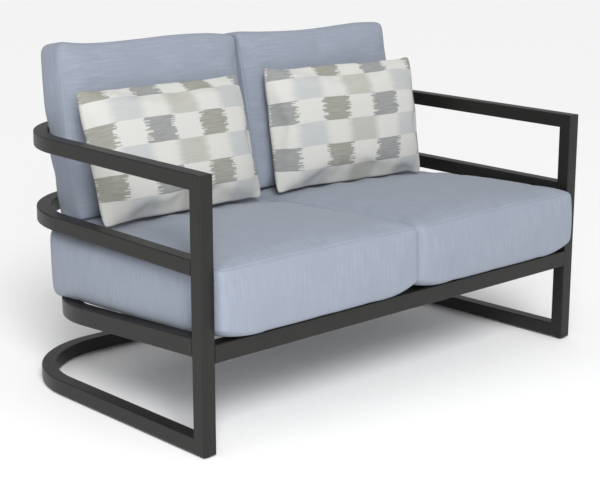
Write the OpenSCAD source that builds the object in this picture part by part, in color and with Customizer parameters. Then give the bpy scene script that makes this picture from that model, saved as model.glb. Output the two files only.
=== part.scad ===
// Outdoor loveseat: a cantilevered frame of four bent tube hoops on two front posts, with loose cushions.
// X runs across the seat, Y from front to back and Z up. The origin is on the floor under the middle.

/* [Frame] */
// Width over the arms
frame_w = 1380; // [1300:10:1700]
// Depth of the floor hoop, from the front of the posts
floor_d = 866; // [840:1:940]
// Depth of the arm hoop and the middle hoop
arm_d = 858; // [840:1:900]
// Depth of the seat hoop
seat_d = 755; // [735:1:780]
// Top of the arms at the posts, above the floor
arm_top = 661; // [645:1:690]
// Underside of the middle hoop at the posts
mid_z = 427; // [415:1:445]
// Underside of the seat hoop at the posts
seat_z = 240.5; // [232:0.5:244]
// Underside of the front rail
rail_z = 223; // [214:0.5:226]
// Rise of the arm hoop and the middle hoop towards the back, in degrees
back_rise = 1.1; // [0:0.1:2]
// Fall of the seat hoop towards the back, in degrees
seat_fall = 3; // [2:0.1:3.4]

/* [Tube] */
// Side of the square tube
tube = 38; // [34:1:42]
// Height of the seat hoop's and the front rail's tube
seat_tube_h = 45; // [42:1:50]
// Wall of the frame tubes
wall = 2.5; // [2:0.25:4]
// Outer corner radius of the tubes
tube_r = 3; // [1:0.25:5]
// Outer radius of the hoops' bends
bend_r = 276; // [250:1:300]

/* [Slats] */
// Number of seat slats
slat_count = 10; // [8:1:12]
// Width of a slat
slat_w = 40; // [30:1:60]
// Thickness of a slat
slat_t = 14; // [10:1:20]
// Wall of the slats
slat_wall = 1.5; // [1:0.25:2.5]
// Height of the slats' tops above the rails that carry them
slat_proud = 3; // [2.5:0.5:5]

/* [Glides] */
// Height of a glide below the tube
glide_h = 6; // [4:0.5:12]
// Diameter of a glide
glide_d = 28; // [20:1:32]
// Diameter of the stem that fills the hole in the tube
stem_d = 10; // [6:0.5:12]
// Length of the stem above the tube's underside
stem_l = 12; // [8:0.5:20]
// Distance of the rear glides from the middle
rear_glide_x = 200; // [120:5:380]

/* [Seat cushions] */
// Thickness between the seams
seat_t = 184; // [165:1:190]
// How far the cushions reach past the front of the posts
seat_overhang = 34; // [20:1:40]
// Depth behind the front of the posts
seat_reach = 708; // [680:1:712]
// How far the outer sides swell out between the middle hoop and the seat hoop
seat_swell = 20; // [0:1:26]
// Height of the crown on top
seat_crown = 16; // [8:1:24]
// Plan radius of the front corners
seat_front_corner = 30; // [24:1:60]
// Plan radius of the rear corners
seat_rear_corner = 78; // [60:1:110]

/* [Back cushions] */
// Width of a back cushion
back_w = 584; // [550:1:590]
// Height of a back cushion
back_h = 450; // [420:1:456]
// Thickness between the seams
back_t = 132; // [120:1:136]
// Radius of the corners, seen from the front
back_corner = 36; // [28:1:60]
// How far the outer side swells out halfway up
back_swell = 16; // [0:1:20]
// Lean, in degrees from upright
back_lean = 9.5; // [8:0.5:10.5]
// Height of the crown on the front
back_crown = 22; // [15:1:28]
// Height of the crown on the back, where it meets the arm hoop
rear_crown = 45; // [38:1:46]

/* [Lumbar pillows] */
// Width from corner to corner
pillow_w = 548; // [500:1:560]
// Height from corner to corner
pillow_h = 348; // [320:1:356]
// Swell of the front from the edge seam
pillow_front = 64; // [50:1:70]
// Swell of the flatter back, which lies against the cushion
pillow_back = 42; // [34:1:48]
// Lean of the left pillow, in degrees from upright
pillow_lean = 16.5; // [14:0.5:19]
// Lean of the right pillow, in degrees from upright
pillow_right_lean = 10.5; // [9:0.5:14]
// Turn of the left pillow's outer end towards the front, in degrees
pillow_turn = 2; // [0:0.5:6]
// Turn of the right pillow's outer end towards the front, in degrees
pillow_right_turn = 6.5; // [4:0.5:8]
// How far the left pillow sits outwards of its back cushion's middle
pillow_shift = 40; // [30:1:46]
// How far the right pillow sits outwards of its back cushion's middle
pillow_right_shift = 15; // [5:1:30]

/* [Hidden] */
$fn = 64;

frame_colour = [0.22, 0.21, 0.20];
glide_colour = [0.06, 0.06, 0.06];
fabric_colour = [0.62, 0.66, 0.73];
pillow_colour = [0.86, 0.86, 0.83];
foam_colour = [0.93, 0.91, 0.80];

half_w = frame_w / 2;
inner_w = half_w - tube;                   // inner face of the arms
far = 2 * frame_w;                         // reach of a cutting block
slip = 0.15;                               // radial play of a glide's stem in its hole
foot_chamfer = 2;                          // chamfers of a glide's foot and of its stem's end
stem_chamfer = 1;
rest = 0.4;                                // play between a soft piece and what it lies on
middle_gap = 1;                            // gap between the two cushions of a pair

rail_top = rail_z + seat_tube_h;
// Inner top corner of the seat hoop's rear tube
nook_y = (seat_d - tube) * cos(seat_fall) + seat_tube_h * sin(seat_fall);
nook_z = seat_z - (seat_d - tube) * sin(seat_fall) + seat_tube_h * cos(seat_fall);
slat_fall = atan((rail_top - nook_z) / (nook_y - tube));
slat_pitch = 2 * (inner_w - slat_w) / slat_count;

corner_steps = 4;                          // facets in a cushion's plan corner
side_shares = [0.07, 0.27, 0.5, 0.73, 0.93]; // points along a cushion's side, as shares of its length
edge_angles = [-90, -68, -48, -28, -9, 9, 28, 48, 68, 90];
face_shares = [0.84, 0.62, 0.34];          // rings on a crowned face, as shares of the seam's outline
square_power = 3;                          // how square a cushion's edge is
swell_powers = [0.7, 2];                   // how full a side's swell is, along it and through the thickness
beyond = -4;                               // stands for the height of a cushion outside its outline
seam_pull = 4;                             // how far a seam is drawn in between the corners

foam_inset = 46;                           // foam block inside the cushion's outline
foam_skin = 20;                            // wadding over the foam block's faces

seat_low_edge = 28;                        // width of the rounded edges, below and on top
seat_high_edge = 40;
seat_base = rail_top + slat_proud + rest;  // underside of the seat cushions at the back of the posts
seat_cushion_w = inner_w - rest - middle_gap / 2;
seat_cushion_d = seat_overhang + seat_reach;
seat_size = [seat_cushion_w, seat_cushion_d, seat_t];
seat_edges = [seat_low_edge, seat_high_edge];
seat_crowns = [0, seat_crown];
seat_radii = [seat_rear_corner, seat_rear_corner, seat_front_corner, seat_front_corner];
// The swell of the outer side starts behind the posts, and lies between the seat hoop and the middle hoop
swell_start = 30;
swell_end = 100;
swell_y = [tube + swell_start - seat_cushion_d / 2 + seat_overhang, seat_cushion_d / 2 + swell_end];
swell_z = [seat_z + seat_tube_h - seat_base + rest, mid_z - seat_base - rest] - [seat_t, seat_t] / 2;

back_front_edge = 22;                      // width of the rounded edges, in front and at the rear
back_rear_edge = 62;
back_size = [back_w, back_h, back_t];
back_edges = [back_rear_edge, back_front_edge];
back_crowns = [rear_crown, back_crown];
back_radii = [back_corner, back_corner, back_corner, back_corner];
back_swell_y = [-back_h / 2, back_h / 2];
back_swell_z = [-back_t / 4, back_t];
least_radius = 4;                          // least corner radius of a seam
back_x = (middle_gap + back_w) / 2;        // middle of a back cushion
hoop_step = 8;                             // distance of the points tried along a hoop

pillow_rings = [0.97, 0.9, 0.76, 0.56, 0.3];
insert_rings = [0.86, 0.5];
pillow_pull = 5;                           // how far a pillow's edge is drawn in between its corners
pillow_corner = 22;
pillow_power = 3;                          // how full a pillow is towards its edges
pillow_fall = 0.7;                         // how steeply it falls to them
insert_share = 0.82;

module rounded(w, h, r) {
    square([w - 2 * r, h], center = true);
    square([w, h - 2 * r], center = true);
    for (x = [-1, 1], y = [-1, 1])
        translate([x * (w / 2 - r), y * (h / 2 - r)]) circle(r);
}

module section(w, h, t, r) {
    difference() {
        rounded(w, h, r);
        rounded(w - 2 * t, h - 2 * t, max(r - t, 0.5));
    }
}

module in_place() {
    translate([0, front_y, 0]) children();
}

// A U of tube, open to the front, lying on z = 0
module hoop(depth, h) {
    for (side = [-1, 1]) {
        translate([side * (half_w - tube / 2), 0, h / 2]) rotate([-90, 0, 0])
            linear_extrude(depth - bend_r) section(tube, h, wall, tube_r);
        translate([side * (half_w - bend_r), depth - bend_r, h / 2]) rotate(side > 0 ? 0 : 90)
            rotate_extrude(angle = 90, $fn = 128)
                translate([bend_r - tube / 2, 0]) section(tube, h, wall, tube_r);
    }
    translate([bend_r - half_w, depth - tube / 2, h / 2]) rotate([90, 0, 90])
        linear_extrude(frame_w - 2 * bend_r) section(tube, h, wall, tube_r);
}

// Everything on the upper side of a plane across the frame that falls towards the back from (y, z)
module above(y, z, fall) {
    translate([-far / 2, y, z]) rotate([-fall, 0, 0]) translate([0, -far / 2, 0]) cube([far, far, far]);
}

// Everything on the lower side of such a plane
module below(y, z, fall) {
    translate([-far / 2, y, z]) rotate([-fall, 0, 0]) translate([0, -far / 2, -far]) cube([far, far, far]);
}

// Everything in front of the posts' rear faces
module before_back_of_posts() {
    translate([-far / 2, tube - far, -far / 2]) cube([far, far, far]);
}

arm_mitre = (90 - back_rise) / 2;

module post(side) {
    color(frame_colour) in_place() difference() {
        translate([side * (half_w - tube / 2), tube / 2, glide_h])
            linear_extrude(arm_top - glide_h) section(tube, tube, wall, tube_r);
        above(0, arm_top, arm_mitre);
        below(0, glide_h, -45);
    }
}

module post_left() {
    post(-1);
}

module post_right() {
    post(1);
}

module arm_hoop() {
    color(frame_colour) in_place() difference() {
        translate([0, 0, arm_top]) rotate([back_rise, 0, 0]) translate([0, 0, -tube]) hoop(arm_d, tube);
        below(0, arm_top, arm_mitre);
    }
}

module middle_hoop() {
    color(frame_colour) in_place() difference() {
        translate([0, 0, mid_z]) rotate([back_rise, 0, 0]) hoop(arm_d, tube);
        before_back_of_posts();
    }
}

module seat_hoop() {
    color(frame_colour) in_place() difference() {
        translate([0, 0, seat_z]) rotate([-seat_fall, 0, 0]) hoop(seat_d, seat_tube_h);
        before_back_of_posts();
    }
}

module floor_hoop() {
    color(frame_colour) in_place() difference() {
        translate([0, 0, glide_h]) hoop(floor_d, tube);
        above(0, glide_h, -45);
        for (spot = glide_spots)
            translate([spot[0], spot[1], 0]) cylinder(d = stem_d + 2 * slip, h = glide_h + 2 * wall);
    }
}

module front_rail() {
    color(frame_colour) in_place()
        translate([-inner_w, tube / 2, rail_z + seat_tube_h / 2]) rotate([90, 0, 90])
            linear_extrude(2 * inner_w) section(tube, seat_tube_h, wall, tube_r);
}

// Everything between the seat hoop's inner faces
module inside_seat_hoop() {
    translate([0, 0, seat_z]) rotate([-seat_fall, 0, 0]) linear_extrude(far, center = true) {
        translate([-inner_w, -tube]) square([2 * inner_w, seat_d - bend_r + tube]);
        translate([bend_r - half_w, 0]) square([frame_w - 2 * bend_r, seat_d - tube]);
        for (side = [-1, 1])
            translate([side * (half_w - bend_r), seat_d - bend_r]) circle(bend_r - tube, $fn = 128);
    }
}

// Slats butt against the back of the front rail, and their rear ends are coped to the seat hoop's inside
module seat_slats() {
    color(frame_colour) in_place() difference() {
        intersection() {
            for (i = [0 : slat_count - 1])
                translate([(i - (slat_count - 1) / 2) * slat_pitch, tube, rail_top + slat_proud])
                    rotate([-slat_fall, 0, 0]) translate([0, -tube / 2, -slat_t / 2]) rotate([-90, 0, 0])
                        linear_extrude(seat_d - tube / 2) section(slat_w, slat_t, slat_wall, tube_r);
            inside_seat_hoop();
        }
        before_back_of_posts();
    }
}

glide_spots = [
    for (side = [-1, 1]) [side * (half_w - tube / 2), tube / 2],
    for (side = [-1, 1]) [side * rear_glide_x, floor_d - tube / 2]
];

module glides() {
    color(glide_colour) in_place() for (spot = glide_spots)
        translate([spot[0], spot[1], 0]) rotate_extrude() polygon([
            [0, 0], [glide_d / 2 - foot_chamfer, 0], [glide_d / 2, foot_chamfer], [glide_d / 2, glide_h],
            [stem_d / 2, glide_h], [stem_d / 2, glide_h + stem_l - stem_chamfer],
            [stem_d / 2 - stem_chamfer, glide_h + stem_l], [0, glide_h + stem_l]
        ]);
}

// Points round a rectangle with round corners, anticlockwise from the corner at +x, +y
function outline(hx, hy, radii) = [
    for (q = [0 : 3])
        let (
            turn = 90 * q,
            r = radii[q],
            next_r = radii[(q + 1) % 4],
            centre = [(q == 0 || q == 3 ? 1 : -1) * (hx - r), (q < 2 ? 1 : -1) * (hy - r)],
            next = [(q < 2 ? -1 : 1) * (hx - next_r), (q == 0 || q == 3 ? 1 : -1) * (hy - next_r)],
            out = [cos(turn + 90), sin(turn + 90)],
            from = centre + r * out,
            to = next + next_r * out
        )
        each concat(
            [for (k = [0 : corner_steps]) centre + r * [cos(turn + 90 * k / corner_steps),
                                                        sin(turn + 90 * k / corner_steps)]],
            [for (share = side_shares) from + (to - from) * share]
        )
];

// Draws a point in where it lies between the corners
function drawn(p, hx, hy, pull) = [
    p[0] * (1 - pull / hx * (1 - pow(p[1] / hy, 2))),
    p[1] * (1 - pull / hy * (1 - pow(p[0] / hx, 2)))
];

function dome(p, hx, hy, power) =
    max(0, 1 - pow(abs(p[0] / hx), power)) * max(0, 1 - pow(abs(p[1] / hy), power));

// Share of a cushion's half thickness that is left at v, when its edge is e wide and ends at h
function edge_share(v, h, e) =
    let (u = (abs(v) - h + e) / e)
    u <= 0 ? 1 : u >= 1 ? beyond : pow(1 - pow(u, square_power), 1 / square_power);

// Height of a cushion's upper face above its middle plane
function top_height(x, y, size, edge, crown) =
    let (hx = size[0] / 2, hy = size[1] / 2)
    size[2] / 2 * min(edge_share(x, hx, edge), edge_share(y, hy, edge))
        + crown * dome([x, y], hx - edge, hy - edge, 2);

function bump(v, span, power) = v <= span[0] || v >= span[1] ? 0 :
    pow(sin(180 * (v - span[0]) / (span[1] - span[0])), power);

// How far a cushion's side swells out. swell holds which side, how far, and where along Y and Z.
function swell_at(x, y, z, hx, swell) = x * swell[0] <= hx / 2 ? 0 :
    swell[1] * bump(y, swell[2], swell_powers[0]) * bump(z, swell[3], swell_powers[1]);

// Rings of points of a box cushion round the origin, crowned on its faces, with drawn-in seams and a side
// that swells out
function cushion_rings(size, radii, edges, crowns, swell) =
    let (
        hx = size[0] / 2,
        hy = size[1] / 2,
        ht = size[2] / 2,
        power = 2 / square_power,
        inner = function (list, by) [for (r = list) max(r - by, least_radius)],
        face = function (share, way, edge, crown)
            let (sx = hx - edge, sy = hy - edge)
            [for (p = share * outline(sx, sy, inner(radii, edge)))
                let (q = drawn(p, hx, hy, seam_pull)) [q[0], q[1], way * (ht + crown * dome(p, sx, sy, 2))]]
    )
    concat(
        [for (i = [len(face_shares) - 1 : -1 : 0]) face(face_shares[i], -1, edges[0], crowns[0])],
        [for (a = edge_angles)
            let (
                inset = edges[a < 0 ? 0 : 1] * (1 - pow(cos(a), power)),
                z = ht * sign(a) * pow(abs(sin(a)), power)
            )
            [for (p = outline(hx - inset, hy - inset, inner(radii, inset)))
                let (q = drawn(p, hx, hy, seam_pull * pow(sin(a), 2)))
                [q[0] + swell[0] * swell_at(p[0], p[1], z, hx, swell), q[1], z]]],
        [for (share = face_shares) face(share, 1, edges[1], crowns[1])]
    );

// Rings of points of a knife-edged pillow round the origin, with full corners
function pillow_form(share, shares) =
    let (
        hx = share * pillow_w / 2,
        hy = share * pillow_h / 2,
        rim = outline(hx, hy, [for (q = [0 : 3]) pillow_corner]),
        ring = function (f, depth) [for (p = f * rim)
            let (q = drawn(p, hx, hy, share * pillow_pull))
            [q[0], q[1], share * depth * pow(dome(p, hx, hy, pillow_power), pillow_fall)]]
    )
    concat(
        [for (i = [len(shares) - 1 : -1 : 0]) ring(shares[i], -pillow_back)],
        [ring(1, 0)],
        [for (f = shares) ring(f, pillow_front)]
    );

// Joins rings of points, lowest first, and closes them with a middle point at each end
module skin(rings, low, high) {
    n = len(rings[0]);
    m = len(rings);
    points = concat([[0, 0, low]], [for (ring = rings) each ring], [[0, 0, high]]);
    top = len(points) - 1;
    polyhedron(points, concat(
        [for (i = [0 : n - 1]) [0, 1 + i, 1 + (i + 1) % n]],
        [for (k = [0 : m - 2], i = [0 : n - 1], half = [0, 1])
            let (a = 1 + k * n + i, b = 1 + k * n + (i + 1) % n)
            half == 0 ? [a, a + n, b] : [b, a + n, b + n]],
        [for (i = [0 : n - 1]) [top, top - n + (i + 1) % n, top - n + i]]
    ));
}

module foam_form(size) {
    cube(size - 2 * [foam_inset, foam_inset, foam_skin], center = true);
}

// Turns a point about the X axis or the Z axis, as rotate() does
function turn_x(p, a) = [p[0], p[1] * cos(a) - p[2] * sin(a), p[1] * sin(a) + p[2] * cos(a)];
function turn_z(p, a) = [p[0] * cos(a) - p[1] * sin(a), p[0] * sin(a) + p[1] * cos(a), p[2]];

seat_turn = [0, seat_cushion_d / 2 - seat_overhang - tube, seat_t / 2];
seat_x = (middle_gap + seat_cushion_w) / 2; // middle of a seat cushion

function seat_rings(side) =
    cushion_rings(seat_size, seat_radii, seat_edges, seat_crowns, [side, seat_swell, swell_y, swell_z]);

// The seat cushions' fronts and the back of the floor hoop lie equally far from the origin
seat_front = tube + min([for (ring = seat_rings(1), p = ring) turn_x(p + seat_turn, -slat_fall)[1]]);
front_y = -(seat_front + floor_d) / 2;     // front face of the posts

// How far a point has to rise to lie on the right seat cushion
function sink(p) =
    let (q = turn_x(p - [0, tube, seat_base], slat_fall) - seat_turn - [seat_x, 0, 0])
    (top_height(q[0], q[1], seat_size, seat_high_edge, seat_crown) - q[2]) / cos(slat_fall);

// Where a form has to be, over or under a first place, to lie on the right seat cushion
function seated(points, at) = at + [0, 0, rest + max([for (p = points) sink(at + p)])];

back_swelling = [1, back_swell, back_swell_y, back_swell_z];
back_rings = cushion_rings(back_size, back_radii, back_edges, back_crowns, back_swelling);
back_points = [for (ring = back_rings, p = ring) turn_x(p, 90 - back_lean)];

// Points on the inner faces of the arm hoop and the middle hoop, from the middle to the right arm
function hoop_inside(x) =
    arm_d - bend_r + sqrt(max(0, pow(bend_r - tube, 2) - pow(max(0, x - half_w + bend_r), 2)));
hoop_points = [
    for (level = [[arm_top, -tube], [mid_z, 0]], h = [0, tube / 2, tube])
        for (x = [middle_gap / 2 : hoop_step : inner_w])
        turn_x([x, hoop_inside(x), level[1] + h], back_rise) + [0, 0, level[0]]
];

// How far the right back cushion has to come forward from a place to clear a point on the hoops
function back_off(p, at) =
    let (
        q = turn_x(p - at, back_lean - 90),
        level = min(1, abs(q[2]) / (back_t / 2)),
        pull = seam_pull * pow(level, square_power) * (1 - pow(2 * q[1] / back_h, 2)),
        x = q[0] + pull - swell_at(q[0], q[1], q[2], back_w / 2, back_swelling)
    )
    (top_height(x, q[1], back_size, back_rear_edge, rear_crown) + q[2]) / cos(back_lean);

// Where the right back cushion lies against the hoops and on the seat cushion, from a first place
function against_hoops(at) =
    seated(back_points, at - [0, rest + max([for (p = hoop_points) back_off(p, at)]), 0]);
back_place = against_hoops(against_hoops(against_hoops(
    [back_x, arm_d - tube - back_t / 2 - rear_crown, seat_base + seat_t + back_h / 2])));

// How far a point has to come forward to lie against the right back cushion
function press(p) =
    let (q = turn_x(p - back_place, back_lean - 90))
    (top_height(q[0], q[1], back_size, back_front_edge, back_crown) - q[2]) / cos(back_lean);

// Lean, turn and shift of the left and the right pillow, which both are placed on the right side
function pillow_set(side) = side < 0 ? [pillow_lean, pillow_turn, pillow_shift]
    : [pillow_right_lean, pillow_right_turn, pillow_right_shift];
function pillow_points(set) = [for (ring = pillow_form(1, pillow_rings), p = ring)
    turn_z(turn_x(p, 90 - set[0]), -set[1])];

// Where a pillow leans on the right back cushion and stands on the seat cushion, from a first place
function leant(points, at) = seated(points, at - [0, rest + max([for (p = points) press(at + p)]), 0]);
pillow_places = [
    for (side = [-1, 1])
        let (set = pillow_set(side), points = pillow_points(set))
        leant(points, leant(points, [back_x + set[2], back_place[1] - back_t, back_place[2]]))
];

module on_slats(side) {
    in_place() translate([0, tube, seat_base]) rotate([-slat_fall, 0, 0])
        translate(seat_turn + [side * seat_x, 0, 0]) children();
}

module leaning_back(side) {
    in_place() mirror([side < 0 ? 1 : 0, 0, 0]) translate(back_place)
        rotate([90 - back_lean, 0, 0]) children();
}

module leaning_pillow(side) {
    set = pillow_set(side);
    in_place() mirror([side < 0 ? 1 : 0, 0, 0]) translate(pillow_places[side < 0 ? 0 : 1])
        rotate([0, 0, -set[1]]) rotate([90 - set[0], 0, 0]) children();
}

module seat_cushion(side) {
    color(fabric_colour) on_slats(side) difference() {
        skin(seat_rings(side), -seat_t / 2, seat_t / 2 + seat_crown);
        foam_form(seat_size);
    }
}

module seat_foam(side) {
    color(foam_colour) on_slats(side) foam_form(seat_size);
}

module back_cushion(side) {
    color(fabric_colour) leaning_back(side) difference() {
        skin(back_rings, -back_t / 2 - rear_crown, back_t / 2 + back_crown);
        foam_form(back_size);
    }
}

module back_foam(side) {
    color(foam_colour) leaning_back(side) foam_form(back_size);
}

module insert_form() {
    skin(pillow_form(insert_share, insert_rings), -insert_share * pillow_back, insert_share * pillow_front);
}

module pillow(side) {
    color(pillow_colour) leaning_pillow(side) difference() {
        skin(pillow_form(1, pillow_rings), -pillow_back, pillow_front);
        insert_form();
    }
}

module pillow_insert(side) {
    color(foam_colour) leaning_pillow(side) insert_form();
}

post_left();
post_right();
arm_hoop();
middle_hoop();
seat_hoop();
floor_hoop();
front_rail();
seat_slats();
glides();
seat_cushion(-1);  // seat_cushion_left
seat_cushion(1);  // seat_cushion_right
seat_foam(-1);  // seat_foam_left
seat_foam(1);  // seat_foam_right
back_cushion(-1);  // back_cushion_left
back_cushion(1);  // back_cushion_right
back_foam(-1);  // back_foam_left
back_foam(1);  // back_foam_right
pillow(-1);  // pillow_left
pillow(1);  // pillow_right
pillow_insert(-1);  // pillow_insert_left
pillow_insert(1);  // pillow_insert_right
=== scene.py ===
import math
import bpy
import numpy as np
from mathutils import Matrix, Vector
from mathutils.bvhtree import BVHTree


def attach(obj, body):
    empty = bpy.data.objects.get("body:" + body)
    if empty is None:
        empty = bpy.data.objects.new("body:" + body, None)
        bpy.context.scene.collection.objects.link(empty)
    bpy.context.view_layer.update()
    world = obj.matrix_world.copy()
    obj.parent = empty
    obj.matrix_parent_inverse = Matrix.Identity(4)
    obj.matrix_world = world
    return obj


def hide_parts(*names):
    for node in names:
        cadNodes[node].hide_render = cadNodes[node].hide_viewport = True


# Outdoor loveseat: powder-coated tube frame, box cushions in woven acrylic, two ikat lumbar pillows.
# Metres. X runs across the seat, Y from front to back, Z up. Side -1 is left and 1 is right.
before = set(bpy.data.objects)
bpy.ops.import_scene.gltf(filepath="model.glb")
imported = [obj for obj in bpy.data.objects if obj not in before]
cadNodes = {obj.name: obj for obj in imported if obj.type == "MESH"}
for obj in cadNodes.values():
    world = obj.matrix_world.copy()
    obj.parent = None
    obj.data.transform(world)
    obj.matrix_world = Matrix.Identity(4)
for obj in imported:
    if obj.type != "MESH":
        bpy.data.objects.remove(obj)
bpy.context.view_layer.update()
scene = bpy.context.scene
mm = 0.001
tiny = 1e-12  # keeps a division clear of nought
sideNames = {-1: "left", 1: "right"}
print("frame loaded:", len(cadNodes), "nodes")


# Camera, floor and light

cameraSetup = {
    "at": (-2.5394, -2.7230, 1.2180),
    "tilt": 76.62,   # degrees
    "turn": -42.98,
    "lens": 82.806,  # mm
    "sensor": 36,
}

studio = {
    "floorSize": 200,
    "floor": "#FFFFFF",
    "floorRoughness": 0.9,
    "surround": "#FFFFFF",
    "surroundStrength": 0.54,
    "daylight": {"from": (-0.75, -1.3, 1.25), "strength": 1.85, "spread": 25},  # spread in degrees
    "softbox": {"at": (-1.9, -2.3, 1.5), "aim": (-0.5, -0.3, 0.4), "size": 1.0, "watts": 38},
}


def linearColour(hexCode):
    parts = [int(hexCode[i:i + 2], 16) / 255 for i in (1, 3, 5)]
    return [p / 12.92 if p <= 0.04045 else ((p + 0.055) / 1.055) ** 2.4 for p in parts] + [1]


def makeCamera():
    camera = bpy.data.objects.new("camera", bpy.data.cameras.new("camera"))
    camera.data.lens = cameraSetup["lens"]
    camera.data.sensor_width = cameraSetup["sensor"]
    camera.data.sensor_fit = "HORIZONTAL"
    camera.location = cameraSetup["at"]
    camera.rotation_euler = (math.radians(cameraSetup["tilt"]), 0, math.radians(cameraSetup["turn"]))
    scene.collection.objects.link(camera)
    scene.camera = camera


def addLight(name, kind, strength, source, place=(0, 0, 0)):
    light = bpy.data.objects.new(name, bpy.data.lights.new(name, kind))
    light.data.energy = strength
    light.rotation_euler = Vector(source).to_track_quat("Z", "Y").to_euler()
    light.location = place
    scene.collection.objects.link(light)
    return light.data


def makeStudio():
    scene.view_settings.view_transform = "Standard"
    world = bpy.data.worlds.new("studio")
    scene.world = world
    world.use_nodes = True
    sky = world.node_tree.nodes["Background"]
    sky.inputs["Color"].default_value = linearColour(studio["surround"])
    sky.inputs["Strength"].default_value = studio["surroundStrength"]
    daylight, softbox = studio["daylight"], studio["softbox"]
    sun = addLight("daylight", "SUN", daylight["strength"], daylight["from"])
    sun.angle = math.radians(daylight["spread"])
    beam = Vector(softbox["at"]) - Vector(softbox["aim"])
    addLight("softbox", "AREA", softbox["watts"], beam, softbox["at"]).size = softbox["size"]
    half = studio["floorSize"] / 2
    corners = [(-half, -half, 0), (half, -half, 0), (half, half, 0), (-half, half, 0)]
    mesh = bpy.data.meshes.new("floor")
    mesh.from_pydata(corners, [], [(0, 1, 2, 3)])
    floor = bpy.data.objects.new("floor", mesh)
    scene.collection.objects.link(floor)
    floor.data.materials.append(floorMaterial())


# Materials

def newMaterial(name, surface):
    material = bpy.data.materials.new(name)
    material.use_nodes = True
    tree = material.node_tree
    shader = tree.nodes["Principled BSDF"]
    for socket, value in surface.items():
        shader.inputs[socket].default_value = value
    return material, tree, shader


# Settings are the node's own options. Feeds go to its inputs: a value, another node or one of its outputs.
def addNode(tree, kind, settings, feeds):
    node = tree.nodes.new("ShaderNode" + kind)
    for name, value in settings.items():
        setattr(node, name, value)
    for name, source in feeds.items():
        if isinstance(source, (int, float, tuple, list)):
            node.inputs[name].default_value = source
        else:
            tree.links.new(source.outputs[0] if hasattr(source, "outputs") else source, node.inputs[name])
    return node


def floorMaterial():
    # painted studio floor: matt, no gloss
    paint = {"Base Color": linearColour(studio["floor"]), "Roughness": studio["floorRoughness"]}
    return newMaterial("matt paint", paint)[0]


powderCoat = {
    "dark": "#11100F",
    "light": "#181714",
    "ior": 1.5,
    "roughness": 0.45,
    "gloss": 0.4,      # specular level, a little under a smooth film's
    "grain": 0.9,      # mm, the fine texture that the cured powder leaves, drawn coarser than the real 0.2
    "patch": 90,       # mm, faint change of tone along a tube
    "bump": 0.12,
    "relief": 0.1,     # mm, depth of the grain
}


def powderCoatMaterial():
    # aluminium tube, sprayed with bronze polyester powder and baked: a dielectric skin with a satin gloss
    material, tree, shader = newMaterial("powder-coated aluminium", {
        "IOR": powderCoat["ior"],
        "Roughness": powderCoat["roughness"],
        "Specular IOR Level": powderCoat["gloss"],
    })
    place = addNode(tree, "TexCoord", {}, {}).outputs["Object"]
    patch = addNode(tree, "TexNoise", {},
                    {"Vector": place, "Scale": 1 / (powderCoat["patch"] * mm), "Detail": 2})
    grain = addNode(tree, "TexNoise", {},
                    {"Vector": place, "Scale": 1 / (powderCoat["grain"] * mm), "Detail": 1})
    tone = addNode(tree, "Mix", {"data_type": "RGBA"},
                   {0: patch, 6: linearColour(powderCoat["dark"]), 7: linearColour(powderCoat["light"])})
    bump = addNode(tree, "Bump", {},
                   {"Height": grain, "Strength": powderCoat["bump"], "Distance": powderCoat["relief"] * mm})
    tree.links.new(tone.outputs[2], shader.inputs["Base Color"])
    tree.links.new(bump.outputs["Normal"], shader.inputs["Normal"])
    return material


polyethylene = {
    "colour": "#161616",
    "ior": 1.51,
    "roughness": 0.55,
    "grain": 0.6,      # mm, of the spark-eroded mould, drawn coarser than the real 0.1
    "bump": 0.3,
    "relief": 0.1,     # mm, depth of the grain
}


def polyethyleneMaterial():
    # injection-moulded glide, coloured right through: near black and waxy dull, with a spark-eroded grain
    material, tree, shader = newMaterial("moulded polyethylene", {
        "IOR": polyethylene["ior"],
        "Roughness": polyethylene["roughness"],
        "Base Color": linearColour(polyethylene["colour"]),
    })
    place = addNode(tree, "TexCoord", {}, {}).outputs["Object"]
    grain = addNode(tree, "TexNoise", {}, {"Vector": place, "Scale": 1 / (polyethylene["grain"] * mm)})
    bump = addNode(tree, "Bump", {}, {"Height": grain, "Strength": polyethylene["bump"],
                                      "Distance": polyethylene["relief"] * mm})
    tree.links.new(bump.outputs["Normal"], shader.inputs["Normal"])
    return material


acrylic = {
    "shade": "#7B828F",
    "body": "#868D9A",
    "light": "#949AA6",
    "ior": 1.49,
    "roughness": 0.92,
    "gloss": 0.2,        # specular level: the fibres scatter most of it
    "sheen": 0.12,       # loose fibres on the yarn
    "sheenRoughness": 0.5,
    "thread": 1.6,       # mm, drawn coarser than the real 0.5 so that the weave shows
    "threadHeight": 0.35,  # of the weave, against the slubs
    "slubWidth": 6,      # mm, thick places in the yarn
    "slubLength": 75,    # mm
    "slubNoise": (0.35, 0.7),  # noise values between which a slub fades in
    "warpSlubs": 0.62,
    "weftSlubs": 0.16,
    "patch": 140,        # mm, slow change of tone
    "patchNoise": (0.3, 0.7),
    "patches": 0.75,     # how much of the slubs a calm patch covers
    "bump": 0.25,
    "relief": 0.6,       # mm, height of the yarns
}


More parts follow.
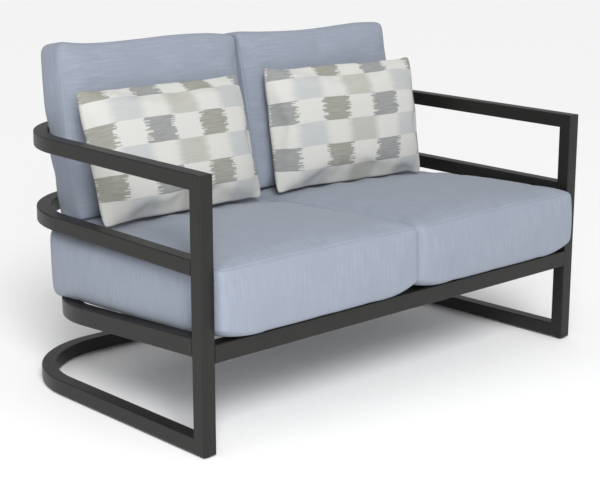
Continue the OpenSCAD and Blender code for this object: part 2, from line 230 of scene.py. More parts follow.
def acrylicMaterial():
    # solution-dyed acrylic yarn in a plain weave: matt, heathered, with slubs along the warp
    material, tree, shader = newMaterial("woven acrylic", {
        "IOR": acrylic["ior"],
        "Roughness": acrylic["roughness"],
        "Specular IOR Level": acrylic["gloss"],
        "Sheen Weight": acrylic["sheen"],
        "Sheen Roughness": acrylic["sheenRoughness"],
    })
    cloth = addNode(tree, "UVMap", {"uv_map": "cloth"}, {})
    width, length = acrylic["slubWidth"] * mm, acrylic["slubLength"] * mm
    streaks = []
    for across, along in ((width, length), (length, width)):
        stretch = addNode(tree, "Mapping", {}, {"Vector": cloth, "Scale": (1 / across, 1 / along, 1)})
        streaks.append(addNode(tree, "TexNoise", {"noise_dimensions": "2D"},
                               {"Vector": stretch, "Scale": 1, "Detail": 2.5}))
    patch = addNode(tree, "TexNoise", {"noise_dimensions": "2D"},
                    {"Vector": cloth, "Scale": 1 / (acrylic["patch"] * mm), "Detail": 1})
    low, high = acrylic["slubNoise"]
    warp = addNode(tree, "MapRange", {}, {"Value": streaks[0], "From Min": low, "From Max": high,
                                          "To Min": 0, "To Max": acrylic["warpSlubs"]})
    weft = addNode(tree, "MapRange", {}, {"Value": streaks[1], "From Min": low, "From Max": high,
                                          "To Min": 0, "To Max": acrylic["weftSlubs"]})
    low, high = acrylic["patchNoise"]
    slow = addNode(tree, "MapRange", {}, {"Value": patch, "From Min": low, "From Max": high,
                                          "To Min": 0, "To Max": acrylic["patches"]})
    body = linearColour(acrylic["body"])
    lighter = addNode(tree, "Mix", {"data_type": "RGBA"},
                      {0: warp, 6: body, 7: linearColour(acrylic["light"])})
    darker = addNode(tree, "Mix", {"data_type": "RGBA"},
                     {0: weft, 6: lighter.outputs[2], 7: linearColour(acrylic["shade"])})
    toned = addNode(tree, "Mix", {"data_type": "RGBA"}, {0: slow, 6: darker.outputs[2], 7: body})
    parts = addNode(tree, "SeparateXYZ", {}, {"Vector": cloth})
    waves = []
    for axis in ("X", "Y"):
        turns = addNode(tree, "Math", {"operation": "MULTIPLY"},
                        {0: parts.outputs[axis], 1: math.pi / (acrylic["thread"] * mm)})
        waves.append(addNode(tree, "Math", {"operation": "SINE"}, {0: turns}))
    weave = addNode(tree, "Math", {"operation": "MULTIPLY"}, {0: waves[0], 1: waves[1]})
    height = addNode(tree, "Math", {"operation": "MULTIPLY_ADD"},
                     {0: weave, 1: acrylic["threadHeight"], 2: streaks[0]})
    bump = addNode(tree, "Bump", {},
                   {"Height": height, "Strength": acrylic["bump"], "Distance": acrylic["relief"] * mm})
    tree.links.new(toned.outputs[2], shader.inputs["Base Color"])
    tree.links.new(bump.outputs["Normal"], shader.inputs["Normal"])
    return material


ikat = {
    "ground": "#BEBEBA",
    "inks": ("#808282", "#83837B"),       # cool and warm grey, on the crisp rows
    "washes": ("#A2A29B", "#A8ABAB"),     # greige and pale blue-grey, on the soft rows
    "ior": 1.54,
    "roughness": 0.9,
    "gloss": 0.2,
    "sheen": 0.08,
    "column": 171,       # mm, from one block to the next along a row
    "row": 61.5,         # mm
    "start": (-67, -233),  # mm, middle of a dark block and foot of its row, from the pillow's middle
    "swap": 8,           # rows after which the two inks change places
    "block": 90,         # mm, width of a block
    "feather": (6, 34),  # mm, width of a block's end on the crisp and the soft rows
    "widen": (4, 0),     # mm, what a block gains at each end for the yarns that fall short
    "wander": (11, 10),  # mm, height and length of the slow unevenness of the ends
    "yarns": (2.4, 20),  # mm, height of a bundle of yarns, and how far its dye may fall short
    "shortPower": 1.8,   # the higher, the fewer bundles fall far short
    "apart": 5.3,        # noise steps between the ends of two blocks
    "thread": 2,         # mm, drawn coarser than the real 0.6
    "streak": 50,        # mm, length of a paler streak in a yarn
    "streakNoise": (0.3, 0.7),
    "strength": (1, 0.78),  # of the dye, in the fullest and the palest yarns
    "bump": 0.3,
    "relief": 0.5,       # mm, height of the yarns
}


def ikatMaterial():
    # polyester yarn dyed in bundles before weaving, so that each block has ragged ends and crisp long sides
    material, tree, shader = newMaterial("ikat weave", {
        "IOR": ikat["ior"],
        "Roughness": ikat["roughness"],
        "Specular IOR Level": ikat["gloss"],
        "Sheen Weight": ikat["sheen"],
    })
    cloth = addNode(tree, "UVMap", {"uv_map": "cloth"}, {})
    place = addNode(tree, "SeparateXYZ", {}, {0: cloth})
    x, y = place.outputs["X"], place.outputs["Y"]
    pitch, start = ikat["column"] * mm, ikat["start"]

    # Rows count up from the foot. Every second one is soft, and stands half a block sideways.
    fromFoot = addNode(tree, "Math", {"operation": "SUBTRACT"}, {0: y, 1: start[1] * mm})
    rows = addNode(tree, "Math", {"operation": "DIVIDE"}, {0: fromFoot, 1: ikat["row"] * mm})
    row = addNode(tree, "Math", {"operation": "FLOOR"}, {0: rows})
    soft = addNode(tree, "Math", {"operation": "FLOORED_MODULO"}, {0: row, 1: 2})
    fromBlock = addNode(tree, "Math", {"operation": "SUBTRACT"}, {0: x, 1: start[0] * mm})
    columns = addNode(tree, "Math", {"operation": "DIVIDE"}, {0: fromBlock, 1: pitch})
    shift = addNode(tree, "Math", {"operation": "MULTIPLY"}, {0: soft, 1: 0.5})
    across = addNode(tree, "Math", {"operation": "SUBTRACT"}, {0: columns, 1: shift})
    column = addNode(tree, "Math", {"operation": "ROUND"}, {0: across})
    offset = addNode(tree, "Math", {"operation": "SUBTRACT"}, {0: across, 1: column})

    # A block's two ends wander slowly, and on the crisp rows each bundle of yarns ends at its own place.
    side = addNode(tree, "Math", {"operation": "SIGN"}, {0: offset})
    end = addNode(tree, "Math", {"operation": "MULTIPLY_ADD"}, {0: column, 1: ikat["apart"], 2: side})
    wander, yarns = ikat["wander"], ikat["yarns"]
    up = addNode(tree, "Math", {"operation": "DIVIDE"}, {0: y, 1: wander[0] * mm})
    at = addNode(tree, "CombineXYZ", {}, {"X": end, "Y": up})
    slow = addNode(tree, "TexNoise", {"noise_dimensions": "2D"}, {"Vector": at, "Scale": 1, "Detail": 0})
    up = addNode(tree, "Math", {"operation": "DIVIDE"}, {0: y, 1: yarns[0] * mm})
    bundle = addNode(tree, "Math", {"operation": "FLOOR"}, {0: up})
    at = addNode(tree, "CombineXYZ", {}, {"X": end, "Y": bundle})
    short = addNode(tree, "TexWhiteNoise", {"noise_dimensions": "2D"}, {"Vector": at})
    out = addNode(tree, "Math", {"operation": "ABSOLUTE"}, {0: offset})
    swing = addNode(tree, "Math", {"operation": "SUBTRACT"}, {0: slow, 1: 0.5})
    swing = addNode(tree, "Math", {"operation": "MULTIPLY"}, {0: swing, 1: wander[1] * mm / pitch})
    softEnd = addNode(tree, "Math", {"operation": "ADD"}, {0: out, 1: swing})
    short = addNode(tree, "Math", {"operation": "POWER"}, {0: short, 1: ikat["shortPower"]})
    short = addNode(tree, "Math", {"operation": "MULTIPLY"}, {0: short, 1: yarns[1] * mm / pitch})
    crispEnd = addNode(tree, "Math", {"operation": "ADD"}, {0: softEnd, 1: short})
    half = ikat["block"] / 2 * mm / pitch
    blocks = []
    for edge, feather, widen in zip((crispEnd, softEnd), ikat["feather"], ikat["widen"]):
        middle, give = half + widen * mm / pitch, feather / 2 * mm / pitch
        blocks.append(addNode(tree, "MapRange", {"interpolation_type": "SMOOTHSTEP"}, {
            "Value": edge, "From Min": middle + give, "From Max": middle - give, "To Min": 0, "To Max": 1}))

    # The tones take turns along a row, and some yarns hold less dye.
    rowsUp = addNode(tree, "Math", {"operation": "DIVIDE"}, {0: row, 1: ikat["swap"]})
    swapped = addNode(tree, "Math", {"operation": "FLOOR"}, {0: rowsUp})
    turn = addNode(tree, "Math", {"operation": "ADD"}, {0: column, 1: swapped})
    inkTone = addNode(tree, "Math", {"operation": "FLOORED_MODULO"}, {0: turn, 1: 2})
    washTone = addNode(tree, "Math", {"operation": "FLOORED_MODULO"}, {0: column, 1: 2})
    alongYarn = addNode(tree, "Math", {"operation": "DIVIDE"}, {0: x, 1: ikat["streak"] * mm})
    yarn = addNode(tree, "Math", {"operation": "DIVIDE"}, {0: y, 1: ikat["thread"] * mm})
    at = addNode(tree, "CombineXYZ", {}, {"X": alongYarn, "Y": yarn})
    streak = addNode(tree, "TexNoise", {"noise_dimensions": "2D"}, {"Vector": at, "Scale": 1, "Detail": 1.5})
    low, high = ikat["streakNoise"]
    strength = addNode(tree, "MapRange", {}, {"Value": streak, "From Min": low, "From Max": high,
                                              "To Min": ikat["strength"][0], "To Max": ikat["strength"][1]})
    dyed = []
    for block, tones, tone in ((blocks[0], ikat["inks"], inkTone), (blocks[1], ikat["washes"], washTone)):
        dye = addNode(tree, "Mix", {"data_type": "RGBA"},
                      {0: tone, 6: linearColour(tones[0]), 7: linearColour(tones[1])})
        depth = addNode(tree, "Math", {"operation": "MULTIPLY"}, {0: block, 1: strength})
        dyed.append(addNode(tree, "Mix", {"data_type": "RGBA"},
                            {0: depth, 6: linearColour(ikat["ground"]), 7: dye.outputs[2]}))
    colour = addNode(tree, "Mix", {"data_type": "RGBA"},
                     {0: soft, 6: dyed[0].outputs[2], 7: dyed[1].outputs[2]})
    bump = addNode(tree, "Bump", {},
                   {"Height": streak, "Strength": ikat["bump"], "Distance": ikat["relief"] * mm})
    tree.links.new(colour.outputs[2], shader.inputs["Base Color"])
    tree.links.new(bump.outputs["Normal"], shader.inputs["Normal"])
    return material


# Soft forms

# Grid lines along one side of a panel, with an extra line beside each end for the seam
def gridLines(length, step, seamGap):
    inner = length / 2 - seamGap
    count = max(2, round(2 * inner / step))
    return np.concatenate([[-length / 2], np.linspace(-inner, inner, count + 1), [length / 2]])


# The six panels of a box: points, faces, cloth coordinates, seam marks, and the points by grid place.
# The seams run round the two faces that look along Z.
def boxPanels(lines):
    index, points, faces, cloth, seam = {}, [], [], [], []
    last = [len(line) - 1 for line in lines]

    def pointAt(key):
        if key not in index:
            index[key] = len(points)
            points.append([lines[axis][key[axis]] for axis in range(3)])
            onRim = key[0] in (0, last[0]) or key[1] in (0, last[1])
            seam.append(1.0 if key[2] in (0, last[2]) and onRim else 0.0)
        return index[key]

    for normal in range(3):
        a, b = [axis for axis in range(3) if axis != normal]
        for side in (0, last[normal]):
            for i in range(last[a]):
                for j in range(last[b]):
                    ring = [(i, j), (i + 1, j), (i + 1, j + 1), (i, j + 1)]
                    if (side == 0) == (normal != 1):
                        ring = ring[::-1]
                    keys = []
                    for u, v in ring:
                        key = [0, 0, 0]
                        key[normal], key[a], key[b] = side, u, v
                        keys.append(tuple(key))
                    faces.append([pointAt(key) for key in keys])
                    cloth.extend([(lines[a][key[a]], lines[b][key[b]]) for key in keys])
    return np.array(points), faces, np.array(cloth), np.array(seam), index


# Rounds a box of panels. corners has the radius of each plan corner by the signs of x and y, and edges has
# the radii below and above.
def roundBox(points, size, corners, edges):
    half = np.array(size) / 2
    sign = np.where(points < 0, -1.0, 1.0)
    away = np.abs(points)
    planRadius = np.array([corners[int(sx), int(sy)] for sx, sy in sign[:, :2]])
    edge = np.where(points[:, 2] < 0, edges[0], edges[1])
    inset = np.minimum(half[0] - away[:, 0], half[1] - away[:, 1])
    d = np.stack([edge - inset, away[:, 2] - half[2] + edge], 1).clip(0)
    both = (d > 0).all(1)
    length = np.hypot(d[:, 0], d[:, 1])
    shrink = np.where(both, d.max(1) / np.maximum(length, tiny), 1)
    newInset = np.where(both, edge - d[:, 0] * shrink, inset)
    away[:, 2] = np.where(both, half[2] - edge + d[:, 1] * shrink, away[:, 2])
    ex = away[:, 0] - half[0] + planRadius
    ey = away[:, 1] - half[1] + planRadius
    corner = (ex > 0) & (ey > 0)
    k = np.where(corner, (planRadius - newInset) / np.maximum(np.hypot(ex, ey), tiny), 1)
    xSide = half[0] - away[:, 0] < half[1] - away[:, 1]
    roundX, roundY = half[0] - planRadius + ex * k, half[1] - planRadius + ey * k
    away[:, 0] = np.where(corner, roundX, np.where(xSide, half[0] - newInset, away[:, 0]))
    away[:, 1] = np.where(corner, roundY, np.where(xSide, away[:, 1], half[1] - newInset))
    return away * sign


# Height of a crown, 1 in the middle and 0 at the sides
def dome(points, half, power=2):
    across = np.abs(points[:, 0] / half[0]).clip(0, 1) ** power
    up = np.abs(points[:, 1] / half[1]).clip(0, 1) ** power
    return (1 - across) * (1 - up)


# Lowest and highest place of a CAD node, measured along the axes of a turned piece
def cadRange(node, turn):
    local = np.array([v.co for v in cadNodes[node].data.vertices]) @ np.array(turn.to_3x3())
    return local.min(0), local.max(0)


def clothObject(name, points, faces, cloth, seam, matrix):
    mesh = bpy.data.meshes.new(name)
    mesh.from_pydata(points.tolist(), [], faces)
    layer = mesh.uv_layers.new(name="cloth")
    layer.uv.foreach_set("vector", cloth.astype(np.float32).ravel())
    mark = mesh.attributes.new("seam", "FLOAT", "POINT")
    mark.data.foreach_set("value", seam.astype(np.float32))
    mesh.polygons.foreach_set("use_smooth", [True] * len(faces))
    piece = bpy.data.objects.new(name, mesh)
    piece.matrix_world = matrix
    scene.collection.objects.link(piece)
    return piece


def placesOf(mesh):
    co = np.empty(len(mesh.vertices) * 3)
    mesh.vertices.foreach_get("co", co)
    return co.reshape(-1, 3)


def setPlaces(piece, places):
    piece.data.vertices.foreach_set("co", places.ravel())
    piece.data.update()


# Replaces the piece's mesh by what its modifiers make of it
def applyModifiers(piece):
    depsgraph = bpy.context.evaluated_depsgraph_get()
    made = bpy.data.meshes.new_from_object(piece.evaluated_get(depsgraph), preserve_all_data_layers=True,
                                           depsgraph=depsgraph)
    piece.modifiers.clear()
    old = piece.data
    piece.data = made
    bpy.data.meshes.remove(old)


# Cloth under air pressure; no point moves further than the cap.
def inflate(piece, air):
    start = placesOf(piece.data)
    cloth = piece.modifiers.new("air", "CLOTH")
    settings = cloth.settings
    settings.use_pressure = True
    settings.uniform_pressure_force = air["pressure"]
    settings.tension_stiffness = settings.compression_stiffness = air["stiffness"]
    settings.bending_stiffness = air["bending"]
    settings.shear_stiffness = air["shear"]
    settings.mass = air["mass"]
    settings.effector_weights.gravity = 0
    cloth.point_cache.frame_start, cloth.point_cache.frame_end = 1, air["frames"]
    for step in range(1, air["frames"] + 1):
        scene.frame_set(step)
    if air["ease"]:
        ease = piece.modifiers.new("ease", "SMOOTH")
        ease.iterations = air["ease"]
    applyModifiers(piece)
    scene.frame_set(1)
    move = placesOf(piece.data) - start
    length = np.linalg.norm(move, axis=1)
    capped = air["cap"] * np.tanh(length / air["cap"])
    setPlaces(piece, start + move * (capped / np.maximum(length, tiny))[:, None])
    print(f"  {piece.name}: moved {capped.max() / mm:.0f} mm at most")


# Stretches the filled form to the space that the CAD solid holds
def refit(piece, low, high):
    places = placesOf(piece.data)
    madeLow, madeHigh = places.min(0), places.max(0)
    setPlaces(piece, low + (places - madeLow) * (high - low) / (madeHigh - madeLow))


# Presses what lies beyond a level flat against it. way is the side of the level that the piece keeps, and
# soft is how gradually the flat begins.
def flatten(piece, axis, way, level, soft=2 * mm):
    places = placesOf(piece.data)
    depth = way * (places[:, axis] - level)
    places[:, axis] = level + way * 0.5 * (depth + np.hypot(depth, soft))
    setPlaces(piece, places)


def subdivide(piece):
    smooth = piece.modifiers.new("smooth", "SUBSURF")
    smooth.levels = smooth.render_levels = 1
    smooth.uv_smooth = "NONE"
    applyModifiers(piece)


# Pulls the seam lines in along the surface's normals
def sinkSeams(piece, depth):
    mark = np.empty(len(piece.data.vertices))
    piece.data.attributes["seam"].data.foreach_get("value", mark)
    normals = np.array([v.normal for v in piece.data.vertices])
    setPlaces(piece, placesOf(piece.data) - normals * (mark * depth)[:, None])


# 1 where the distance from an edge is nothing, falling to 0 at the reach
def near(distance, reach):
    return (1 - distance / reach).clip(0, 1)


contact = {
    "gap": 1 * mm,        # between a cushion and its neighbours
    "pillowGap": 1.5 * mm,
    "middleGap": 1 * mm,  # between the two cushions of a pair
    "reach": 60 * mm,     # how deep a point may lie inside a neighbour
    "inside": -0.5,       # cosine between a face's normal and the way to a point, below which it lies inside
    "cushion": {"passes": 3, "rounds": 12, "ease": 0.97},  # how often and how far the points round it follow
    "pillow": {"passes": 4, "rounds": 120, "ease": 0.99},
    "tubeBore": 45 * mm,  # a face of a tube is an inner one where another faces it this near
}


# The piece's surface for distance tests, without the inner faces of a tube with that bore
def treeOf(piece, bore=0):
    mesh = piece.data
    points = [piece.matrix_world @ v.co for v in mesh.vertices]
    tree = BVHTree.FromPolygons(points, [tuple(p.vertices) for p in mesh.polygons])
    if not bore:
        return tree
    lift, sight = 0.1 * mm, 1.2 * bore
    outside = [tuple(p.vertices) for p in mesh.polygons
               if tree.ray_cast(p.center + p.normal * lift, p.normal, sight)[0] is None]
    return BVHTree.FromPolygons(points, outside)


# Moves points that lie inside a neighbour, or too close to it, out to its surface, and lets the points
# round them follow in part. The last pass moves single points only.
def keepClear(piece, trees, gap, passes=0, rounds=0, ease=0):
    toWorld = piece.matrix_world
    toLocal = np.array(toWorld.inverted())[:3, :3]
    edges = np.empty(len(piece.data.edges) * 2, dtype=np.int32)
    piece.data.edges.foreach_get("vertices", edges)
    edges = edges.reshape(-1, 2)
    shares = np.bincount(edges.ravel(), minlength=len(piece.data.vertices))[:, None]
    for turn in range(passes + 1):
        moves = np.zeros((len(piece.data.vertices), 3))
        for v in piece.data.vertices:
            start = place = toWorld @ v.co
            for tree in trees:
                hit, normal, _, distance = tree.find_nearest(place, contact["reach"])
                if hit is None:
                    continue
                away = place - hit
                if away.dot(normal) < contact["inside"] * distance:
                    place = hit + normal * gap
                elif distance < gap:
                    place = hit + (away.normalized() if distance > 0 else normal) * gap
            moves[v.index] = place - start
        far = np.linalg.norm(moves, axis=1)
        if turn < passes:
            for _ in range(rounds):
                around = np.stack([np.bincount(edges.ravel(), moves[edges[:, ::-1].ravel(), axis], len(moves))
                                   for axis in range(3)], 1)
                moves = np.where((far > 0)[:, None], moves, ease * around / shares)
        setPlaces(piece, placesOf(piece.data) + moves @ toLocal.T)
        print(f"  {piece.name}: {(far > 0).sum()} points kept clear, by {far.max() / mm:.1f} mm at most")


def finishPiece(piece, material, node, inside):
    piece.data.materials.clear()
    piece.data.materials.append(material)
    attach(piece, "root")
    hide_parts(node, inside)


# Seat cushions

seatPad = {
    "tilt": -1.69,        # degrees, with the slats
    "step": 11 * mm,      # between the grid lines of a panel
    "seamGap": 4 * mm,
    "slack": 4 * mm,      # the form before it is filled is this much smaller
    "frontCorner": 17 * mm,
    "rearCorner": 78 * mm,
    "innerCorner": {-1: 16 * mm, 1: 34 * mm},  # in front, beside the neighbour
    "edges": (14 * mm, 16 * mm),
    "crown": 14 * mm,
    "crownPower": 2.4,    # how far the crown stays full towards the edges
    "lift": 30 * mm,      # rise of the lower front corners
    "liftReach": (130 * mm, 210 * mm),  # across and towards the rear
    "bow": 9 * mm,        # front face
    "bowReach": 130 * mm,
    "swell": 20 * mm,     # outer side, between the hoops
    "swellStart": 90 * mm,  # behind the front
    "swellPower": (0.6, 6),  # how full the swell is, along the side and through the thickness
    "cheek": {-1: 0, 1: 7 * mm},  # swell of the outer front corner, before the post
    "cheekReach": 45 * mm,
    "sag": 13 * mm,       # the filled underside, pressed flat on the slats
    "press": 6 * mm,      # the filled inner side, pressed flat on its neighbour
    "hang": 7 * mm,       # how far the outer edge hangs beside the slats, towards the rear
    "hangReach": (60 * mm, 90 * mm),  # across and up
    "yield": 3 * mm,      # how far one cushion pushes into the other, left and right by turns
    "yieldReach": 60 * mm,
    "dent": 13 * mm,      # where a pillow's lower edge rests
    "dentReach": 65 * mm,
    "pillowFoot": 60 * mm,  # height of the part of a pillow that dents the seat
    "seamDepth": 1.6 * mm,
    "fill": 0.75,
    "air": {"pressure": 4, "stiffness": 12, "bending": 1.5, "shear": 8, "mass": 0.3, "frames": 20, "ease": 0,
            "cap": 14 * mm},
}


def makeSeatCushion(side):
    name = sideNames[side]
    turn = Matrix.Rotation(math.radians(seatPad["tilt"]), 4, "X")
    low, high = cadRange("seat_cushion_" + name, turn)
    fullLow, fullHigh = low.copy(), high.copy()
    outer = max(abs(low[0]), abs(high[0])) - seatPad["swell"]
    inner = contact["middleGap"] / 2
    high[2] -= seatPad["crown"]
    size = np.array([outer - inner, high[1] - low[1], high[2] - low[2]]) - seatPad["slack"]
    centre = np.array([side * (outer + inner) / 2, (low[1] + high[1]) / 2, (low[2] + high[2]) / 2])
    half = size / 2
    lines = [gridLines(length, seatPad["step"], seatPad["seamGap"]) for length in size]
    points, faces, cloth, seam, _ = boxPanels(lines)
    front, rear = seatPad["frontCorner"], seatPad["rearCorner"]
    corners = {(side, -1): front, (side, 1): rear,
               (-side, -1): seatPad["innerCorner"][side], (-side, 1): front}
    shape = roundBox(points, size, corners, seatPad["edges"])

    # lifted lower front corners, crown, bowed front, swollen outer side and front corner
    up = ((shape[:, 2] + half[2]) / size[2]).clip(0, 1)
    nearX = near(half[0] - np.abs(shape[:, 0]), seatPad["liftReach"][0])
    nearY = near(half[1] + shape[:, 1], seatPad["liftReach"][1])
    shape[:, 2] += seatPad["lift"] * nearX ** 2 * nearY ** 2 * (1 - up) ** 2
    shape[:, 2] += seatPad["crown"] * dome(shape, half, seatPad["crownPower"]) * up
    band = 1 - (2 * up - 1) ** 2
    frontFace = near(half[1] + shape[:, 1], seatPad["bowReach"]) ** 2
    shape[:, 1] -= seatPad["bow"] * frontFace * band * (1 - (shape[:, 0] / half[0]) ** 4)
    outside = (side * shape[:, 0] / half[0]).clip(0, 1) ** 3
    lead, (alongPower, bandPower) = seatPad["swellStart"], seatPad["swellPower"]
    along = ((shape[:, 1] + half[1] - lead) / (size[1] - lead)).clip(0, 1)
    fullBand = 1 - (2 * up - 1) ** bandPower
    shape[:, 0] += side * seatPad["swell"] * outside * fullBand * np.sin(np.pi * along) ** alongPower
    ahead = near(half[1] + shape[:, 1], seatPad["cheekReach"])
    shape[:, 0] += side * seatPad["cheek"][side] * outside * band * ahead

    matrix = turn @ Matrix.Translation(centre)
    piece = clothObject("seatCushion" + name.capitalize(), shape, faces, cloth, seam, matrix)
    inflate(piece, seatPad["air"])
    pressed = {-1: fullLow - centre, 1: fullHigh - centre}
    pressed[-1][2] -= seatPad["sag"]
    pressed[-side][0] -= side * seatPad["press"]
    refit(piece, pressed[-1], pressed[1])
    flatten(piece, 2, 1, low[2] - centre[2])
    flatten(piece, 0, side, side * inner - centre[0])

    # outer edge that hangs beside the slats, inner side that gives, dent under the pillow
    places = placesOf(piece.data)
    overhang = near(half[0] - side * places[:, 0], seatPad["hangReach"][0])
    behind = (0.5 + places[:, 1] / size[1]).clip(0, 1)
    under = near(places[:, 2] - low[2] + centre[2], seatPad["hangReach"][1])
    places[:, 2] -= seatPad["hang"] * overhang * behind * under
    beside = near(half[0] + side * places[:, 0], seatPad["yieldReach"])
    places[:, 0] += seatPad["yield"] * beside * np.sin(np.pi * (places[:, 1] / half[1]).clip(-1, 1))
    toLocal = piece.matrix_world.inverted()
    pillow = np.array([toLocal @ v.co for v in cadNodes["pillow_" + name].data.vertices])
    foot = pillow[pillow[:, 2] < pillow[:, 2].min() + seatPad["pillowFoot"]]
    apart = np.linalg.norm(places[:, None] - foot, axis=2).min(1)
    dented = np.exp(-(apart / seatPad["dentReach"]) ** 2)
    places[:, 2] -= seatPad["dent"] * dented * (places[:, 2] / half[2]).clip(0, 1)
    setPlaces(piece, places)
    subdivide(piece)
    sinkSeams(piece, seatPad["seamDepth"])
    return piece


# Back cushions

backPad = {
    "lean": 9.5,          # degrees
    "step": 11 * mm,
    "seamGap": 4 * mm,
    "slack": 4 * mm,
    "corner": 22 * mm,
    "edges": (50 * mm, 14 * mm),
    "frontCrown": 20 * mm,
    "rearCrown": 42 * mm,
    "swell": 16 * mm,
    "swellLoss": 0.3,     # share of the swell that is gone at the two seams
    "sag": 9 * mm,
    "press": 6 * mm,
    "leanOnArm": {-1: 4 * mm, 1: 18 * mm},  # how much further the outer side swells
    "gape": {-1: 7 * mm, 1: 28 * mm},  # how far the front edges stand apart at the foot of the seam
    "gapeReach": 90 * mm,
    "gapeTop": 0.2,       # share of it that is left at the top
    "yield": 3 * mm,
    "yieldReach": 40 * mm,
    "topLine": {-1: (10, 7, 12, 13, -7), 1: (0, 1, 0, 5, 0)},  # mm, rise of the top edge from left to right
    "seamDepth": 1.6 * mm,
    "fill": 0.75,
    "air": {"pressure": 4, "stiffness": 12, "bending": 1.5, "shear": 8, "mass": 0.3, "frames": 20, "ease": 0,
            "cap": 14 * mm},
}


def makeBackCushion(side):
    name = sideNames[side]
    turn = Matrix.Rotation(math.radians(90 - backPad["lean"]), 4, "X")
    low, high = cadRange("back_cushion_" + name, turn)
    fullLow, fullHigh = low.copy(), high.copy()
    outer = max(abs(low[0]), abs(high[0])) - backPad["swell"]
    inner = contact["middleGap"] / 2
    low[2] += backPad["rearCrown"]
    high[2] -= backPad["frontCrown"]
    size = np.array([outer - inner, high[1] - low[1], high[2] - low[2]]) - backPad["slack"]
    centre = np.array([side * (outer + inner) / 2, (low[1] + high[1]) / 2, (low[2] + high[2]) / 2])
    half = size / 2
    lines = [gridLines(length, backPad["step"], backPad["seamGap"]) for length in size]
    points, faces, cloth, seam, _ = boxPanels(lines)
    corners = {(sx, sy): backPad["corner"] for sx in (1, -1) for sy in (1, -1)}
    shape = roundBox(points, size, corners, backPad["edges"])

    # crowns in front and behind, swollen outer side
    up = (shape[:, 2] / half[2]).clip(-1, 1)
    crown = dome(shape, half)
    shape[:, 2] += np.where(up > 0, backPad["frontCrown"], backPad["rearCrown"]) * crown * up
    outside = (side * shape[:, 0] / half[0]).clip(0, 1) ** 3
    band = (1 - (shape[:, 1] / half[1]) ** 2) * (1 - backPad["swellLoss"] * up ** 2)
    shape[:, 0] += side * backPad["swell"] * outside * band

    # the cloth is turned, so that its slubs run across
    matrix = turn @ Matrix.Translation(centre)
    piece = clothObject("backCushion" + name.capitalize(), shape, faces, cloth[:, ::-1], seam, matrix)
    inflate(piece, backPad["air"])
    pressed = {-1: fullLow - centre, 1: fullHigh - centre}
    pressed[-1][1] -= backPad["sag"]
    pressed[side][0] += side * backPad["leanOnArm"][side]
    pressed[-side][0] -= side * backPad["press"]
    refit(piece, pressed[-1], pressed[1])
    flatten(piece, 1, 1, fullLow[1] - centre[1])
    flatten(piece, 0, side, side * inner - centre[0])

    # front edges that stand apart, inner side that gives, uneven top edge
    places = placesOf(piece.data)
    forward = (places[:, 2] / half[2]).clip(0, 1)
    nearSeam = near(half[0] + side * places[:, 0], backPad["gapeReach"])
    lower = (1 - (1 - backPad["gapeTop"]) * (1 + places[:, 1] / half[1]) / 2).clip(0, 1)
    places[:, 0] += side * backPad["gape"][side] * nearSeam * lower * forward
    beside = near(half[0] + side * places[:, 0], backPad["yieldReach"])
    places[:, 0] += backPad["yield"] * beside * np.sin(np.pi * (places[:, 2] / half[2]).clip(-1, 1))
    rises = backPad["topLine"][side]
    wave = np.polyfit(np.linspace(-1, 1, len(rises)), rises, len(rises) - 1)
    upper = (places[:, 1] / half[1]).clip(0, 1)
    places[:, 1] += mm * np.polyval(wave, (places[:, 0] / half[0]).clip(-1, 1)) * upper ** 2
    setPlaces(piece, places)
    subdivide(piece)
    sinkSeams(piece, backPad["seamDepth"])
    return piece


# Lumbar pillows

pillowPad = {
    "lean": {-1: 16.5, 1: 10.5},  # degrees
    "turn": {-1: 2, 1: 6.5},
    "step": 9 * mm,
    "seamGap": 3 * mm,
    "rim": 5 * mm,        # the joined edges of the two panels
    "rimEdge": 1 * mm,
    "corner": 15 * mm,
    "bow": 15 * mm,       # the panels are cut wider between the corners, which filling draws straight
    "backShare": 0.4,     # share of the thickness behind the rim
    "start": 0.85,        # share of the final swell before the pillow is filled
    "fullness": (3, 0.7),  # powers that shape the swell, from the middle and towards the rim
    "settle": {-1: 4 * mm, 1: 10 * mm},  # how far the lower edge sinks into the seat
    "seamDepth": 1 * mm,
    "repeat": {-1: (0, 0), 1: (-4 * mm, 495 * mm)},  # where each pillow was cut from the cloth
    "fill": 0.6,
    "air": {"pressure": 4, "stiffness": 10, "bending": 1.2, "shear": 8, "mass": 0.3, "frames": 20, "ease": 14,
            "cap": 34 * mm},
}


# Spaces the cloth coordinates of the two panels evenly along the filled surface
def evenCloth(piece, index, lines, start):
    places = placesOf(piece.data)
    grid = np.zeros([len(line) for line in lines] + [3])
    for key, point in index.items():
        grid[key] = places[point]
    grid = grid[:, :, [0, -1]]
    even = np.zeros((len(places), 2))
    for axis in (0, 1):
        steps = np.linalg.norm(np.diff(grid, axis=axis), axis=3)
        run = np.insert(np.cumsum(steps, axis=axis), 0, 0, axis=axis)
        share = run / run.take([-1], axis=axis) - 0.5
        length = lines[axis][-1] - lines[axis][0]
        for key, point in index.items():
            even[point, axis] = share[key[0], key[1], min(key[2], 1)] * length + start[axis]
    corners = np.empty(len(piece.data.loops), dtype=np.int32)
    piece.data.loops.foreach_get("vertex_index", corners)
    piece.data.uv_layers["cloth"].uv.foreach_set("vector", even[corners].astype(np.float32).ravel())


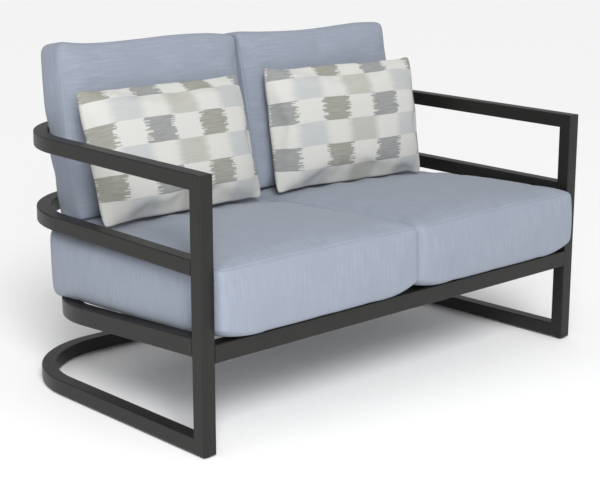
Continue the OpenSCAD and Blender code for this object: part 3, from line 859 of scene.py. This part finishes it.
def makePillow(side):
    name = sideNames[side]
    turn = (Matrix.Rotation(math.radians(-side * pillowPad["turn"][side]), 4, "Z")
            @ Matrix.Rotation(math.radians(90 - pillowPad["lean"][side]), 4, "X"))
    low, high = cadRange("pillow_" + name, turn)
    centre = (low + high) / 2
    centre[2] = low[2] + pillowPad["backShare"] * (high[2] - low[2])
    size = np.array([high[0] - low[0], high[1] - low[1], pillowPad["rim"]])
    half = size / 2
    lines = [gridLines(length, pillowPad["step"], pillowPad["seamGap"]) for length in size[:2]]
    lines.append(np.array([-0.5, 0.5]) * pillowPad["rim"])
    points, faces, cloth, seam, index = boxPanels(lines)
    corners = {(sx, sy): pillowPad["corner"] for sx in (1, -1) for sy in (1, -1)}
    shape = roundBox(points, size, corners, (pillowPad["rimEdge"], pillowPad["rimEdge"]))
    swell = np.where(shape[:, 2] > 0, high[2] - centre[2], centre[2] - low[2]) * pillowPad["start"]
    middlePower, rimPower = pillowPad["fullness"]
    shape[:, 2] += np.sign(shape[:, 2]) * swell * dome(shape, half, middlePower) ** rimPower
    along = 1 - (shape[:, :2] / half[:2]) ** 2
    shape[:, :2] *= 1 + pillowPad["bow"] / half[:2] * along[:, ::-1]
    matrix = turn @ Matrix.Translation(centre)
    piece = clothObject("pillow" + name.capitalize(), shape, faces, cloth, seam, matrix)
    inflate(piece, pillowPad["air"])
    low[1] -= pillowPad["settle"][side]
    refit(piece, low - centre, high - centre)
    evenCloth(piece, index, lines, pillowPad["repeat"][side])
    return piece


makeCamera()
makeStudio()
coat = powderCoatMaterial()
glideFinish = polyethyleneMaterial()
cushionCloth = acrylicMaterial()
pillowCloth = ikatMaterial()
for nodeName, node in cadNodes.items():
    node.data.materials.clear()
    node.data.materials.append(glideFinish if nodeName == "glides" else coat)
print("frame finished")

tubeNodes = ("arm_hoop", "middle_hoop", "seat_hoop", "front_rail", "post_left", "post_right")
tubes = [treeOf(cadNodes[nodeName], contact["tubeBore"]) for nodeName in tubeNodes]
cushions = {}
for side in sideNames:
    cushions["seat", side] = makeSeatCushion(side)
    keepClear(cushions["seat", side], tubes, contact["gap"], **contact["cushion"])
seats = [treeOf(cushions["seat", side]) for side in sideNames]
for side in sideNames:
    cushions["back", side] = makeBackCushion(side)
    keepClear(cushions["back", side], tubes + seats, contact["gap"], **contact["cushion"])
for (kind, side), cushion in cushions.items():
    name = sideNames[side]
    finishPiece(cushion, cushionCloth, f"{kind}_cushion_{name}", f"{kind}_foam_{name}")
print("cushions made")

neighbours = [treeOf(cushion) for cushion in cushions.values()]
for side, name in sideNames.items():
    pillow = makePillow(side)
    keepClear(pillow, neighbours, contact["pillowGap"], **contact["pillow"])
    subdivide(pillow)
    sinkSeams(pillow, pillowPad["seamDepth"])
    keepClear(pillow, neighbours, contact["gap"])
    finishPiece(pillow, pillowCloth, f"pillow_{name}", f"pillow_insert_{name}")
print("pillows made")
